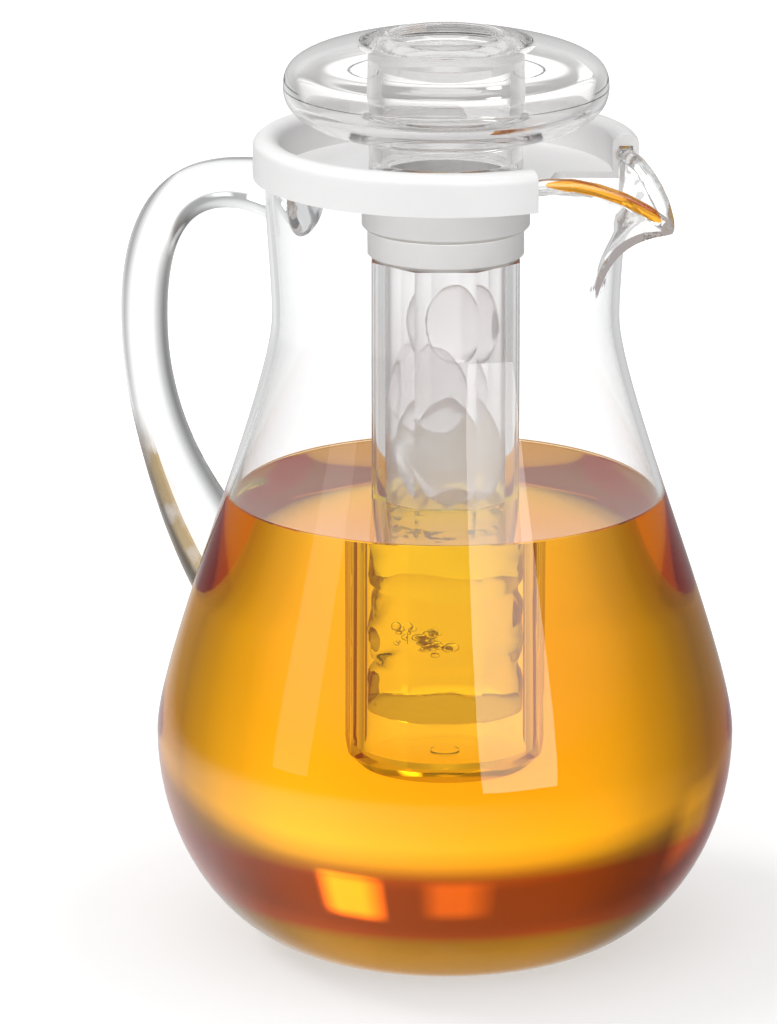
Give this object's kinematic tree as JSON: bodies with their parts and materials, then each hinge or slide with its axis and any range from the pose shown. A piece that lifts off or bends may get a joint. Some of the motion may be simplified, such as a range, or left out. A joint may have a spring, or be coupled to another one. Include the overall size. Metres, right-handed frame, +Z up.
{
  "type": "pitcher with ice core",
  "caption": "Round clear drink pitcher with spout and loop handle, a hook-on white cover that carries an eight-sided ice tube, and a hollow disc knob that stoppers the tube.",
  "frame": {"origin": "centre of the jug's flat base, on the jug's axis", "axes": "+Z up along the jug's axis, +X towards the spout's tip, -X towards the handle"},
  "size_m": [0.2202, 0.19, 0.3033],
  "materials": {
    "clear_jug": "polished clear",
    "clear_tube": "polished clear",
    "clear_knob": "polished clear",
    "white_plastic": "satin",
    "soft_seal": "matte silicone"
  },
  "bodies": {
    "jug": {"jug_body": "clear_jug", "handle": "clear_jug"},
    "lid": {"cover": "white_plastic"},
    "knob": {"knob_base": "clear_knob", "knob_top": "clear_knob"},
    "washer": {"tube_washer": "soft_seal"},
    "core": {"ice_tube": "clear_tube", "tube_collar": "white_plastic"}
  },
  "joints": [
    {"name": "cover_lift", "type": "slide", "parent": "jug", "child": "lid", "axis": [0, 0, 1], "range_m": [0, 0.25]},
    {"name": "knob_lift", "type": "slide", "parent": "lid", "child": "knob", "axis": [0, 0, 1], "range_m": [0, 0.06]},
    {"name": "tube_drop", "type": "slide", "parent": "lid", "child": "washer", "axis": [0, 0, -1], "range_m": [0, 0.016]},
    {"name": "tube_turn", "type": "hinge", "parent": "washer", "child": "core", "pos_m": [0, 0, 0.15], "axis": [0, 0, -1], "range_deg": [0, 720]}
  ],
  "couplings": [
    {"joint": "tube_drop", "follows": "tube_turn", "m_per_rad": 0.001273}
  ]
}
